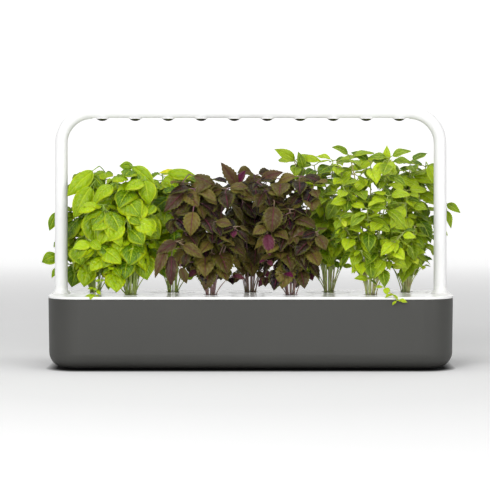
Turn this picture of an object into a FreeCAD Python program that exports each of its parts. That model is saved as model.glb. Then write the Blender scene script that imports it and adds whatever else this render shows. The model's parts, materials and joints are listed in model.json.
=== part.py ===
import FreeCAD, Part
import math
import os
import random

# Countertop hydroponic garden: a long water tub with a lid, nine planted cups
# and a lamp arch on two extension rods. Millimetres, +Z up, +X along the tub,
# -Y towards the front. The origin is where the centre of the tub meets the table.

os.makedirs("parts", exist_ok=True)
Vec = FreeCAD.Vector
UP = Vec(0, 0, 1)

# Tub
tub_length = 620.0
tub_width = 185.0
tub_corner_radius = 50.0
tub_bottom_radius = 24.0
tub_draft = 1.5              # how much narrower each side is at the floor
tub_wall = 3.0
foot_height = 2.0
foot_radius = 9.0
foot_recess = 1.0
tub_rim_height = 108.5
foot_rows = 2
feet_per_row = 3
foot_margin_x = 80.0         # from the tub's end to the outer feet
foot_margin_y = 50.5

# Lid
lid_thickness = 3.5
lid_edge_round = 1.0
lid_skirt_depth = 10.0
lid_skirt_wall = 2.0
lid_fit = 0.4                # gap between the lid's skirt and the tub
seat_fit = 0.3               # gap around whatever lifts out of the lid

# Cups, one per plant
cup_count = 9
cup_end_margin = 64.0        # from the tub's end to the outer cups
cup_row_offset = 32.0
cup_flange_radius = 35.0
cup_flange_thickness = 1.5
cup_seat_depth = 1.2
cup_top_radius = 29.0
cup_bottom_radius = 23.0
cup_wall = 1.5
cup_depth = 58.0
cup_hole_radius = 11.5
cup_slot_base = 6.0
cup_slot_width = 4.0
cup_slot_length = 26.0
cup_slots = 6
plug_top_gap = 1.0
plug_fit = 0.2
wick_width = 14.0
wick_thickness = 2.0
wick_end_height = 9.0
wick_root_depth = 12.0

# Leg sockets
leg_radius = 10.0
socket_collar_height = 12.0
socket_flare_radius = 8.0
socket_plate_radius = 14.4
socket_depth = 48.0
socket_tube_radius = 10.6
socket_web_width = 6.0
socket_screw_radius = 1.6
socket_screw_head_radius = 3.0
socket_screw_head_height = 1.6
socket_screw_spacing = 22.0
socket_screw_drop = 8.0      # below the lid's skirt
screw_fit = 0.2
screw_grip = 4.0
screw_pilot_depth = 5.0
wire_way_fit = 0.6
notch_fit = 0.5

# Extension rods and lamp arch
rod_length = 124.0
plug_length = 24.0
plug_radius = 7.4
plug_clearance = 0.1
seam_chamfer = 0.4           # on each side of a joint between two white tubes
wire_bore_radius = 5.4
arch_top = 404.0
arch_bend_radius = 48.0
lamp_flat_depth = 8.4        # the bar's underside is flat this far below its axis
bar_bore_radius = 6.5

# Lamp
led_count = 10
led_end_margin = 78.25       # from the tub's end to the outer lamps
bezel_radius = 10.4
bezel_drop = 1.5
bezel_neck_radius = 5.0
lens_radius = 9.0
lens_drop = 3.6
neck_wall = 1.6
neck_fit = 0.1
light_gap = 0.3
board_width = 9.0
board_thickness = 1.6
board_end_margin = 12.0
chip_size = 3.5
chip_thickness = 1.2

# Water level float
float_pitches = -1.5         # cup pitches from the middle
float_y = 60.0
float_radius = 7.0
float_height = 16.0
float_stem_radius = 2.4
float_fit = 0.6
guide_wall = 1.2
guide_length = 78.0
guide_lip = 1.5
guide_window = 3.0
guide_window_base = 4.8

# Electrics
box_pitches = 1.5            # cup pitches from the middle
box_length = 46.0
box_depth = 26.0
box_height = 40.0
box_wall = 2.0
box_top_gap = 14.0
wall_fit = 0.2               # gap to the tub's tapered wall
boss_radius = 2.5
boss_height = 3.0
boss_inset = 4.0
driver_length = 36.0
driver_height = 28.0
driver_margin = 3.0
coil_size = 10.0
coil_height = 6.0
driver_chip_gap = 2.0
driver_chip_length = 7.0
driver_chip_width = 6.0
driver_chip_height = 1.5
capacitor_count = 2
capacitor_pitch = 5.0
capacitor_radius = 2.0
capacitor_height = 7.0
inlet_radius = 6.0
inlet_flange_radius = 8.5
inlet_flange_thickness = 1.2
inlet_bore_radius = 3.2
inlet_pin_radius = 1.0
inlet_depth = 14.0
inlet_floor = 2.0
inlet_pin_set_back = 1.0
inlet_height = 76.0
harness_radius = 1.8
harness_bend = 9.0
contact_radius = 2.2
contact_gap = 0.3
contact_disc = 3.0
lug_thickness = 2.0
lug_width = 8.0
lug_reach = 14.5

# Foliage
leaf_thickness = 0.8
leaf_fold = 0.16             # rise of a leaf's edges over its midrib, per width
leaf_outline = ((0.24, 0.03), (0.45, 0.5), (0.78, 0.38))    # shares along and across
stem_size = 3.4
stem_tip_size = 2.0
stem_steps = 4
stem_spread = 6.0
stem_bend_across = 0.3       # the stem's bend, as shares of its tip's offset
stem_bend_up = 0.6
full_stem = 170.0            # shorter stems carry smaller leaves
least_vigour = 0.45          # size share of a leaf on a stem of no length
lowest_leaf_share = 1.15     # a leaf's size at its stem's foot, and how much
leaf_share_loss = 0.25       # smaller it is at the tip
crown_radius = 9.0
crown_height = 4.0
field_overhang = 8.0         # how far leaves may reach past the tub's ends
field_inset = 0.5            # how far they stay inside its sides
foliage_floor = 3.0          # lowest leaf above the lid
foliage_height = 230.0
neighbour_gap = 0.6
leg_keep_out = 17.0
solid_leaf_step = 2          # every second leaf of the layout has a solid

# Chance in the planting: degrees to either side, or the span of a value
first_turn_range = 40
leaf_turn_range = 15
leaf_drop_range = 16
pair_turn_range = 12
leaf_facing = (15, 60)
leaf_size_range = (0.8, 1.1)

# Herbs: leaf length, width over length, levels of side leaves up a stem, how far
# the lowest and the highest leaves hang down in degrees, and the length share and
# the hang of the pair on the stem's tip.
HERBS = {
    "green basil": dict(length=62, ratio=0.64, levels=(0.46, 0.64, 0.82), low=62, high=32, top=(0.75, 18)),
    "purple basil": dict(length=54, ratio=0.60, levels=(0.38, 0.54, 0.70, 0.86),
                         low=60, high=30, top=(0.75, 8)),
    "lime basil": dict(length=48, ratio=0.50, levels=(0.40, 0.55, 0.70, 0.85),
                       low=58, high=20, top=(0.8, -12)),
}
PLANTED = ["green basil"] * 3 + ["purple basil"] * 3 + ["lime basil"] * 3

# Room that each plant takes from its neighbours, in square mm
ROOM = [0, 0, 0, 2600, 0, 2600, 5289, 3500, 2500]

# Stem tips of each plant: across, back and up from the middle of its cup
STEM_TIPS = [
    [(-22, 8, 182), (18, -4, 186), (-2, -30, 146), (-44, 40, 130), (30, 34, 168), (-66, 54, 104),
     (-12, -46, 96)],
    [(6, -4, 188), (-22, -14, 178), (24, -18, 176), (-40, -32, 138), (-2, -44, 120), (34, -4, 140),
     (-60, -46, 86)],
    [(-18, 18, 184), (16, 22, 188), (34, 38, 180), (-30, 42, 162), (2, 0, 158), (-44, 26, 118)],
    [(-46, -12, 168), (2, -8, 176), (-24, -28, 162), (24, -14, 164), (-58, -36, 124), (4, -44, 112),
     (40, -40, 106)],
    [(-28, 12, 178), (6, 18, 184), (26, 26, 178), (-44, 40, 164), (10, 44, 150), (-14, -6, 150)],
    [(-16, -10, 178), (14, -14, 182), (36, -22, 170), (-42, -28, 166), (-2, -44, 132), (40, -42, 98),
     (-36, -46, 110)],
    [(-54, 22, 208), (-22, 14, 200), (8, 20, 208), (28, 40, 192), (42, 8, 172), (-38, 46, 172),
     (-10, -14, 150)],
    [(-52, 2, 204), (-32, -8, 212), (0, -4, 204), (28, -14, 210), (-44, -30, 166), (-8, -42, 132),
     (24, -38, 152),
     (-50, -36, 118), (46, -44, 96)],
    [(-22, 14, 206), (8, 18, 206), (34, 30, 198), (20, 44, 182), (-14, 48, 180), (-2, -22, 160),
     (58, 54, 126),
     (10, -34, 104)],
]

# Where a leaf doesn't fit, it is tried smaller and turned: share of its length, degrees
LEAF_TRIES = [(1.0, 0), (1.0, 30), (1.0, -30), (0.85, 0), (0.85, 55), (0.85, -55), (0.7, 20), (0.7, -20),
              (0.6, 80), (0.6, -80)]

lid_top = tub_rim_height + lid_thickness
cup_top = lid_top - cup_seat_depth + cup_flange_thickness
arch_axis_z = arch_top - leg_radius
rod_foot = lid_top + socket_collar_height
rod_top = rod_foot + rod_length
bar_underside = arch_axis_z - lamp_flat_depth
end_wall_x = tub_length / 2 - tub_wall
leg_axis_x = tub_length / 2 - socket_plate_radius
cup_pitch = (tub_length - 2 * cup_end_margin) / ((cup_count - 1) / 2)
led_pitch = (tub_length - 2 * led_end_margin) / (led_count - 1)
float_x = float_pitches * cup_pitch
box_x = box_pitches * cup_pitch
field_half_length = tub_length / 2 + field_overhang
field_half_width = tub_width / 2 - field_inset
CUPS = range(1, cup_count + 1)


def cup_place(number):
    """Centre of a cup in plan: odd ones stand in the back row, even ones in front."""
    x = (number - (cup_count + 1) / 2) * cup_pitch / 2
    y = cup_row_offset if number % 2 else -cup_row_offset
    return x, y


def box(x_low, x_high, y_low, y_high, z_low, z_high):
    return Part.makeBox(x_high - x_low, y_high - y_low, z_high - z_low, Vec(x_low, y_low, z_low))


def rod(radius, x, y, z_low, z_high):
    return Part.makeCylinder(radius, z_high - z_low, Vec(x, y, z_low))


def tube(outer, inner, x, y, z_low, z_high):
    return rod(outer, x, y, z_low, z_high).cut(rod(inner, x, y, z_low - 1, z_high + 1))


def cone(radius_low, radius_high, x, y, z_low, z_high):
    return Part.makeCone(radius_low, radius_high, z_high - z_low, Vec(x, y, z_low))


def joined(shapes):
    whole = shapes[0]
    if len(shapes) > 1:
        whole = whole.multiFuse(shapes[1:])
    return whole.removeSplitter()


def export(name, shape):
    solids = shape.Solids
    for solid in solids:
        if not solid.isValid() or not solid.isClosed():
            print("not a sound solid:", name)
    shape = solids[0] if len(solids) == 1 else Part.makeCompound(solids)
    shape.exportStep("parts/%s.step" % name)
    print("%-22s %2d solid(s) %9.0f mm3" % (name, len(solids), shape.Volume))


def rounded_outline(half_x, half_y, radius, z):
    """Rounded rectangle as one closed wire of four lines and four arcs."""
    edges = []
    middle = radius * math.cos(math.radians(45))
    corners = [(1, 1), (-1, 1), (-1, -1), (1, -1)]
    for number, (sx, sy) in enumerate(corners):
        cx, cy = sx * (half_x - radius), sy * (half_y - radius)
        on_x, on_y = Vec(sx * half_x, cy, z), Vec(cx, sy * half_y, z)
        first, last = (on_x, on_y) if number % 2 == 0 else (on_y, on_x)
        edges.append(Part.Arc(first, Vec(cx + sx * middle, cy + sy * middle, z), last).toShape())
        next_x, next_y = corners[(number + 1) % 4]
        if number % 2 == 0:
            following = Vec(next_x * (half_x - radius), next_y * half_y, z)
        else:
            following = Vec(next_x * half_x, next_y * (half_y - radius), z)
        edges.append(Part.LineSegment(last, following).toShape())
    return Part.Wire(Part.__sortEdges__(edges))


def rounded_plate(inset, z_low, z_high):
    """Upright block with the tub's plan, drawn in by an inset all round."""
    outline = rounded_outline(tub_length / 2 - inset, tub_width / 2 - inset, tub_corner_radius - inset, z_low)
    return Part.Face(outline).extrude(UP * (z_high - z_low))


def tub_form(inset, z_low, z_high):
    """The tub's tapered outer form, or its hollow when an inset is given."""
    foot = inset + tub_draft
    low = rounded_outline(tub_length / 2 - foot, tub_width / 2 - foot, tub_corner_radius - foot, z_low)
    high = rounded_outline(tub_length / 2 - inset, tub_width / 2 - inset, tub_corner_radius - inset, z_high)
    form = Part.makeLoft([low, high], True, True)
    floor_edges = [edge for edge in form.Edges if edge.BoundBox.ZMax < z_low + 0.01]
    return form.makeFillet(tub_bottom_radius - inset, floor_edges)


def tub_inside():
    """The tub's hollow, drawn in by the gap that fitted pieces keep to its walls."""
    return tub_form(tub_wall + wall_fit, foot_height + tub_wall + wall_fit, tub_rim_height + 1)


def foot_places():
    span_x, span_y = tub_length - 2 * foot_margin_x, tub_width - 2 * foot_margin_y
    for row in range(foot_rows):
        for column in range(feet_per_row):
            x = span_x * (column / (feet_per_row - 1) - 0.5)
            y = span_y * (row / (foot_rows - 1) - 0.5)
            yield x, y


def feet():
    """Rubber discs let into shallow pockets under the tub."""
    return Part.makeCompound([rod(foot_radius, x, y, 0, foot_height + foot_recess) for x, y in foot_places()])


def screw_heights():
    """Screws through the tub's end wall into the web behind each leg socket."""
    top = tub_rim_height - lid_skirt_depth - socket_screw_drop
    return [top, top - socket_screw_spacing]


def screw_hole(side, z, radius, reach):
    start = Vec(side * (tub_length / 2 + 1), 0, z)
    return Part.makeCylinder(radius, reach + 1, start, Vec(-side, 0, 0))


def reservoir_tub():
    """Water tub with pockets for its feet and holes for the inlet and the socket screws."""
    body = tub_form(0, foot_height, tub_rim_height)
    hollow = tub_form(tub_wall, foot_height + tub_wall, tub_rim_height + 1)
    pockets = [rod(foot_radius + notch_fit, x, y, 0, foot_height + foot_recess) for x, y in foot_places()]
    outside = Vec(box_x, tub_width / 2 + 1, inlet_height)
    inlet_hole = Part.makeCylinder(inlet_radius, 3 * tub_wall, outside, Vec(0, -1, 0))
    tub = body.cut([hollow, inlet_hole] + pockets)
    holes = []
    for side in (-1, 1):
        for z in screw_heights():
            holes.append(screw_hole(side, z, socket_screw_radius + screw_fit, tub_wall + tub_draft))
            head_reach = socket_screw_head_height + tub_draft
            holes.append(screw_hole(side, z, socket_screw_head_radius + screw_fit, head_reach))
    return tub.cut(holes)


def socket_notch(side, gap, z_low, z_high):
    """Plan of a socket's foot plate, open at the tub's end, grown by a gap."""
    x = side * leg_axis_x
    half = socket_plate_radius + gap
    end = side * (tub_length / 2 + (1 if gap else 0))
    slab = box(min(x, end), max(x, end), -half, half, z_low, z_high)
    return joined([rod(half, x, 0, z_low, z_high), slab])


def lid():
    """White cover with a skirt inside the tub, nine cup seats and a notch at each leg."""
    plate = rounded_plate(0, tub_rim_height, lid_top)
    rim = [edge for edge in plate.Edges if edge.BoundBox.ZMin > lid_top - 0.01]
    plate = plate.makeFillet(lid_edge_round, rim)
    skirt_inset = tub_wall + lid_fit
    skirt = rounded_plate(skirt_inset, tub_rim_height - lid_skirt_depth, tub_rim_height)
    skirt = skirt.cut(rounded_plate(skirt_inset + lid_skirt_wall, 0, tub_rim_height + 1))
    cover = joined([plate, skirt])
    cuts = []
    for number in CUPS:
        x, y = cup_place(number)
        cuts.append(rod(cup_flange_radius + seat_fit, x, y, lid_top - cup_seat_depth, lid_top + 1))
        cuts.append(rod(cup_top_radius + notch_fit, x, y, 0, lid_top))
    for side in (-1, 1):
        cuts.append(socket_notch(side, notch_fit, 0, lid_top + 1))
    cuts.append(rod(float_stem_radius + float_fit, float_x, float_y, 0, lid_top + 1))
    return cover.cut(cuts)


def seam_softened(shape, heights):
    """Chamfer the outer edges of a leg's tubes at the joints between them."""
    edges = []
    for edge in shape.Edges:
        bounds = edge.BoundBox
        level = any(abs(bounds.ZMin - z) < 0.01 and abs(bounds.ZMax - z) < 0.01 for z in heights)
        if level and abs(bounds.YMax - leg_radius) < 0.5:
            edges.append(edge)
    return shape.makeChamfer(seam_chamfer, edges)


def leg_socket(side):
    """White foot of a leg: a plate level with the lid, a flared collar and a tube in the tub."""
    x = side * leg_axis_x
    plate = socket_notch(side, 0, tub_rim_height, lid_top)
    flare = rod(socket_plate_radius, x, 0, lid_top, lid_top + socket_flare_radius)
    hollow = leg_radius + socket_flare_radius
    flare = flare.cut(Part.makeTorus(hollow, socket_flare_radius, Vec(x, 0, lid_top + socket_flare_radius)))
    collar = rod(leg_radius, x, 0, tub_rim_height, rod_foot)
    column = rod(socket_tube_radius, x, 0, tub_rim_height - socket_depth, tub_rim_height)
    wall_x = side * end_wall_x
    web_low = tub_rim_height - socket_depth
    half_web = socket_web_width / 2
    web = box(min(x, wall_x), max(x, wall_x), -half_web, half_web, web_low, tub_rim_height)
    body = joined([plate, flare, collar, column, web.common(tub_inside())])
    bore = rod(plug_radius + plug_clearance, x, 0, rod_foot - plug_length - contact_gap, rod_foot + 1)
    wire_way = rod(contact_radius + wire_way_fit, x, 0, 0, rod_foot)
    screws = [screw_hole(side, z, socket_screw_radius, tub_wall + screw_pilot_depth) for z in screw_heights()]
    return seam_softened(body.cut([bore, wire_way] + screws), [rod_foot])


def socket_screws():
    """Four flat-headed screws, two for each leg socket."""
    screws = []
    for side in (-1, 1):
        for z in screw_heights():
            shank = screw_hole(side, z, socket_screw_radius, tub_wall + screw_grip)
            head = screw_hole(side, z, socket_screw_head_radius, socket_screw_head_height)
            screw = shank.fuse(head).removeSplitter()
            screws.append(screw.common(tub_form(0, foot_height, tub_rim_height)))
    return Part.makeCompound(screws)


def socket_contact():
    """Brass pin under the right socket, with a lug for the harness."""
    x, top = leg_axis_x, rod_foot - plug_length - contact_gap
    foot = tub_rim_height - socket_depth
    half = lug_width / 2
    lug = box(x - half, x + half, -half, lug_reach + half, foot - lug_thickness, foot)
    return joined([rod(contact_radius, x, 0, foot - lug_thickness, top), lug])


def extension_rod(side):
    """White tube with a plug below and a socket for the arch above."""
    x = side * leg_axis_x
    floor = rod_top - plug_length - contact_gap
    plug = rod(plug_radius, x, 0, rod_foot - plug_length, rod_foot)
    body = joined([rod(leg_radius, x, 0, rod_foot, rod_top), plug])
    wire_bore = rod(wire_bore_radius, x, 0, 0, rod_top)
    socket_bore = rod(plug_radius + plug_clearance, x, 0, floor, rod_top + 1)
    return seam_softened(body.cut([wire_bore, socket_bore]), [rod_foot, rod_top])


def contact_pin(z_low, z_high, discs):
    """Brass conductor on the right leg's axis, centred in its bore by discs."""
    x = leg_axis_x
    shapes = [rod(contact_radius, x, 0, z_low, z_high)]
    shapes += [rod(wire_bore_radius - plug_clearance, x, 0, z, z + contact_disc) for z in discs]
    return joined(shapes)


def rod_conductor():
    low, high = rod_foot - plug_length, rod_top - plug_length - contact_gap
    return contact_pin(low, high, [low, high - contact_disc])


def arch_contact():
    low = rod_top - plug_length
    return contact_pin(low, low + plug_length, [low, low + plug_length - contact_disc])


def arch_path(radius):
    """Round bar of a radius along the arch's centre line."""
    pieces = []
    bend_x = leg_axis_x - arch_bend_radius
    bend_z = arch_axis_z - arch_bend_radius
    pieces.append(Part.makeCylinder(radius, 2 * bend_x, Vec(-bend_x, 0, arch_axis_z), Vec(1, 0, 0)))
    for side in (-1, 1):
        circle = Part.makeCircle(radius, Vec(side * leg_axis_x, 0, bend_z), UP)
        disc = Part.Face(Part.Wire(circle))
        pieces.append(disc.revolve(Vec(side * bend_x, 0, bend_z), Vec(0, -side, 0), 90))
        pieces.append(rod(radius, side * leg_axis_x, 0, rod_top, bend_z))
    return joined(pieces)


def led_places():
    return [(number - (led_count - 1) / 2) * led_pitch for number in range(led_count)]


def lamp_arch():
    """Bent white tube with plugs on its feet and a flat under its bar for the lamps."""
    outside = arch_path(leg_radius)
    bend_x = leg_axis_x - arch_bend_radius
    flat = box(-bend_x, bend_x, -leg_radius, leg_radius, arch_axis_z - leg_radius - 1, bar_underside)
    plugs = [rod(plug_radius, side * leg_axis_x, 0, rod_top - plug_length, rod_top) for side in (-1, 1)]
    body = joined([outside.cut(flat)] + plugs)
    bores = [rod(wire_bore_radius, side * leg_axis_x, 0, 0, rod_top + plug_length) for side in (-1, 1)]
    hole_top = arch_axis_z - bezel_neck_radius
    holes = [rod(bezel_neck_radius + neck_fit, x, 0, 0, hole_top) for x in led_places()]
    body = body.cut([arch_path(bar_bore_radius).removeSplitter()] + bores + holes)
    return seam_softened(body, [rod_top])


def led_board():
    """Long circuit board that rests across the bar's bore."""
    half_length = leg_axis_x - arch_bend_radius - board_end_margin
    half_width = board_width / 2
    low = arch_axis_z - half_width
    return box(-half_length, half_length, -half_width, half_width, low, low + board_thickness)


def led_chips():
    top = arch_axis_z - board_width / 2
    half = chip_size / 2
    low = top - chip_thickness
    return Part.makeCompound([box(x - half, x + half, -half, half, low, top) for x in led_places()])


def led_bezels():
    """White rings under the bar, each with a neck up through the bar's wall."""
    rings = []
    chip_floor = arch_axis_z - board_width / 2 - chip_thickness
    for x in led_places():
        disc = rod(bezel_radius, x, 0, bar_underside - bezel_drop, bar_underside)
        neck = rod(bezel_neck_radius, x, 0, bar_underside, chip_floor - light_gap)
        rings.append(joined([disc, neck]).cut(rod(bezel_neck_radius - neck_wall, x, 0, 0, arch_top)))
    return Part.makeCompound(rings)


def led_lenses():
    """Shallow domes below the rings."""
    seat = bar_underside - bezel_drop
    ball_radius = (lens_radius ** 2 + lens_drop ** 2) / (2 * lens_drop)
    domes = []
    for x in led_places():
        ball = Part.makeSphere(ball_radius, Vec(x, 0, seat - lens_drop + ball_radius))
        low = seat - lens_drop - 1
        below = box(x - bezel_radius, x + bezel_radius, -bezel_radius, bezel_radius, low, seat)
        domes.append(ball.common(below))
    return Part.makeCompound(domes)


def cup_radius(depth):
    """Outer radius of a cup at a depth below its flange's top."""
    return cup_top_radius + (cup_bottom_radius - cup_top_radius) * depth / cup_depth


def cup(number):
    """White cup: a flange with the plant's hole and a tapered, slotted basket."""
    x, y = cup_place(number)
    bottom = cup_top - cup_depth
    flange = rod(cup_flange_radius, x, y, cup_top - cup_flange_thickness, cup_top)
    basket = cone(cup_bottom_radius, cup_top_radius, x, y, bottom, cup_top)
    hollow_top = cup_top - cup_flange_thickness
    inner_top = cup_radius(cup_flange_thickness) - cup_wall
    hollow = cone(cup_bottom_radius - cup_wall, inner_top, x, y, bottom + cup_wall, hollow_top)
    mouth = rod(cup_bottom_radius - 2 * cup_wall, x, y, 0, bottom + cup_wall)
    cuts = [hollow, mouth, rod(cup_hole_radius, x, y, hollow_top - 1, cup_top + 1)]
    for turn in range(cup_slots):
        slot_low = bottom + cup_slot_base
        half = cup_slot_width / 2
        slot = box(0, cup_top_radius + 1, -half, half, slot_low, slot_low + cup_slot_length)
        slot.rotate(Vec(0, 0, 0), UP, (turn + 0.5) * 360 / cup_slots)
        slot.translate(Vec(x, y, 0))
        cuts.append(slot)
    return joined([flange, basket]).cut(cuts)


def plug_span():
    """Bottom and top of the soil plug inside a cup."""
    return cup_top - cup_depth + cup_wall, cup_top - cup_flange_thickness - plug_top_gap


def soil_plug(number):
    x, y = cup_place(number)
    low, high = plug_span()
    radius_low = cup_radius(cup_top - low) - cup_wall - plug_fit
    radius_high = cup_radius(cup_top - high) - cup_wall - plug_fit
    return cone(radius_low, radius_high, x, y, low, high).cut(wick(number))


def wick(number):
    """Flat felt strip from the soil plug down into the water."""
    x, y = cup_place(number)
    half_x, half_y = wick_width / 2, wick_thickness / 2
    top = plug_span()[0] + wick_root_depth
    return box(x - half_x, x + half_x, y - half_y, y + half_y, wick_end_height, top)


def float_guide():
    """Tube under the lid that holds the float, with a lip below and windows for the water."""
    inner = float_radius + float_fit
    low, high = tub_rim_height - guide_length, tub_rim_height
    body = tube(inner + guide_wall, inner, float_x, float_y, low, high)
    lip = tube(inner + guide_wall, inner - guide_lip, float_x, float_y, low, low + guide_wall)
    body = joined([body, lip])
    half = guide_window / 2
    window = box(-2 * inner, 2 * inner, -half, half, low + guide_window_base, low + guide_length / 2)
    window.translate(Vec(float_x, float_y, 0))
    return body.cut(window)


def water_float():
    """Float with its gauge stem up to the lid's top."""
    low = tub_rim_height - guide_length + guide_wall
    drum = rod(float_radius, float_x, float_y, low, low + float_height)
    return joined([drum, rod(float_stem_radius, float_x, float_y, low, lid_top)])


def box_span():
    """Lowest and highest corners of the dry box inside the tub's back wall."""
    back = tub_width / 2 - tub_wall
    top = tub_rim_height - box_top_gap
    return (box_x - box_length / 2, back - box_depth, top - box_height), (box_x + box_length / 2, back, top)


def harness_start():
    low, high = box_span()
    return Vec(high[0] - box_wall, (low[1] + high[1]) / 2, (low[2] + high[2]) / 2 + box_height / 4)


def electronics_box():
    """Closed dry box for the driver board, fitted to the tub's back wall."""
    low, high = box_span()
    block = box(low[0], high[0], low[1], high[1], low[2], high[2]).common(tub_inside())
    w = box_wall
    hollow = box(low[0] + w, high[0] - w, low[1] + w, high[1] - 2 * w, low[2] + w, high[2] - w)
    inlet_way = Part.makeCylinder(inlet_radius, 3 * w, Vec(box_x, high[1] + 1, inlet_height), Vec(0, -1, 0))
    start = harness_start()
    gland = Part.makeCylinder(harness_radius + wall_fit, 2 * w, start - Vec(1, 0, 0), Vec(1, 0, 0))
    shell = block.cut([hollow, inlet_way, gland])
    bosses = []
    reach_x, reach_z = driver_length / 2 - boss_inset, driver_height / 2 - boss_inset
    for dx in (-1, 1):
        for dz in (-1, 1):
            at = Vec(box_x + dx * reach_x, low[1] + w, (low[2] + high[2]) / 2 + dz * reach_z)
            bosses.append(Part.makeCylinder(boss_radius, boss_height, at, Vec(0, 1, 0)))
    return joined([shell] + bosses)


def driver_board():
    """Board on the box's bosses, with a coil, a chip and two capacitors."""
    low, high = box_span()
    face = low[1] + box_wall + boss_height
    middle = (low[2] + high[2]) / 2
    half_x, half_z = driver_length / 2, driver_height / 2
    back = face + board_thickness
    board = box(box_x - half_x, box_x + half_x, face, back, middle - half_z, middle + half_z)
    x, z = box_x - half_x + driver_margin, middle - half_z + driver_margin
    coil = box(x, x + coil_size, back, back + coil_height, z, z + coil_size)
    x += coil_size + driver_chip_gap
    chip = box(x, x + driver_chip_length, back, back + driver_chip_height, z, z + driver_chip_width)
    x += driver_chip_length
    shapes = [board, coil, chip]
    for number in range(capacitor_count):
        x += capacitor_pitch
        foot = Vec(x, back, z + capacitor_radius)
        shapes.append(Part.makeCylinder(capacitor_radius, capacitor_height, foot, Vec(0, 1, 0)))
    return joined(shapes)


def power_inlet():
    """Round low-voltage socket with a centre pin, through the tub's back wall."""
    wall_y = tub_width / 2 - wall_fit
    out = Vec(0, 1, 0)
    outside = Vec(box_x, wall_y, inlet_height)
    flange = Part.makeCylinder(inlet_flange_radius, inlet_flange_thickness, outside, out)
    inner_end = Vec(box_x, wall_y - inlet_depth, inlet_height)
    barrel = Part.makeCylinder(inlet_radius - wall_fit, inlet_depth, inner_end, out)
    bore_floor = inner_end + out * inlet_floor
    bore = Part.makeCylinder(inlet_bore_radius, inlet_depth + inlet_flange_thickness, bore_floor, out)
    pin_length = inlet_depth - inlet_floor - inlet_pin_set_back
    pin = Part.makeCylinder(inlet_pin_radius, pin_length, bore_floor, out)
    return joined([joined([flange, barrel]).cut(bore), pin])


def harness():
    """Sheathed lead from the dry box, round the back corner and down to the right socket."""
    start = harness_start()
    corner_y = cup_row_offset + lug_reach
    points = [
        start,
        Vec(tub_length / 2 - tub_corner_radius, start.y, start.z),
        Vec(leg_axis_x, corner_y, start.z),
        Vec(leg_axis_x, lug_reach, start.z),
        Vec(leg_axis_x, lug_reach, tub_rim_height - socket_depth),
    ]
    edges, last = [], points[0]
    for before, corner, after in zip(points, points[1:], points[2:]):
        back, ahead = (before - corner).normalize(), (after - corner).normalize()
        half = back.getAngle(ahead) / 2
        reach = harness_bend / math.tan(half)
        enter, leave = corner + back * reach, corner + ahead * reach
        middle = (back + ahead).normalize()
        crest = corner + middle * (harness_bend / math.sin(half) - harness_bend)
        edges.append(Part.LineSegment(last, enter).toShape())
        edges.append(Part.Arc(enter, crest, leave).toShape())
        last = leave
    edges.append(Part.LineSegment(last, points[-1]).toShape())
    ring = Part.Wire(Part.makeCircle(harness_radius, start, Vec(1, 0, 0)))
    return Part.Wire(edges).makePipeShell([ring], True, False)


def room_planes(number):
    """Upright planes (x, y, limit) round the room in which a plant may spread."""
    x, y = cup_place(number)
    planes = [(sign, 0, field_half_length) for sign in (-1, 1)]
    planes += [(0, sign, field_half_width) for sign in (-1, 1)]
    for other in CUPS:
        if other != number:
            other_x, other_y = cup_place(other)
            gap = math.hypot(other_x - x, other_y - y)
            share = gap / 2 + (ROOM[number - 1] - ROOM[other - 1]) / (2 * gap) - neighbour_gap
            across, back = (other_x - x) / gap, (other_y - y) / gap
            planes.append((across, back, across * x + back * y + share))
    for side in (-1, 1):
        gap = math.hypot(side * leg_axis_x - x, y)
        across, back = (side * leg_axis_x - x) / gap, -y / gap
        planes.append((across, back, across * x + back * y + gap - leg_keep_out))
    return planes


def stem_point(number, tip, t):
    """Point at share t along a stem, which leaves its cup steeply and then leans out."""
    x, y = cup_place(number)
    reach = math.hypot(tip[0], tip[1])
    spread = stem_spread / reach
    start = Vec(x + spread * tip[0], y + spread * tip[1], lid_top)
    bend = Vec(x + stem_bend_across * tip[0], y + stem_bend_across * tip[1], lid_top + stem_bend_up * tip[2])
    end = Vec(x + tip[0], y + tip[1], lid_top + tip[2])
    return start * (1 - t) ** 2 + bend * 2 * t * (1 - t) + end * t ** 2


def leaf_directions(azimuth, drop, facing):
    """Directions along a leaf's midrib and across its blade, which faces the front."""
    a, d = math.radians(azimuth), math.radians(drop)
    rib = Vec(math.cos(a) * math.cos(d), math.sin(a) * math.cos(d), -math.sin(d))
    level = Vec(-math.sin(a), math.cos(a), 0)
    lean = math.radians(facing) * math.cos(a)
    return rib, level * math.cos(lean) + rib.cross(level) * math.sin(lean)


def leaf_fits(base, rib, side, length, width, planes):
    spots = [base + rib * length]
    for along in (0.45, 0.75):
        for across in (-0.5, 0.5):
            spots.append(base + rib * along * length + side * across * width)
    low, high = lid_top + foliage_floor, lid_top + foliage_height
    in_room = all(nx * spot.x + ny * spot.y <= limit for nx, ny, limit in planes for spot in spots)
    return in_room and all(low < spot.z < high for spot in spots)


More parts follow.
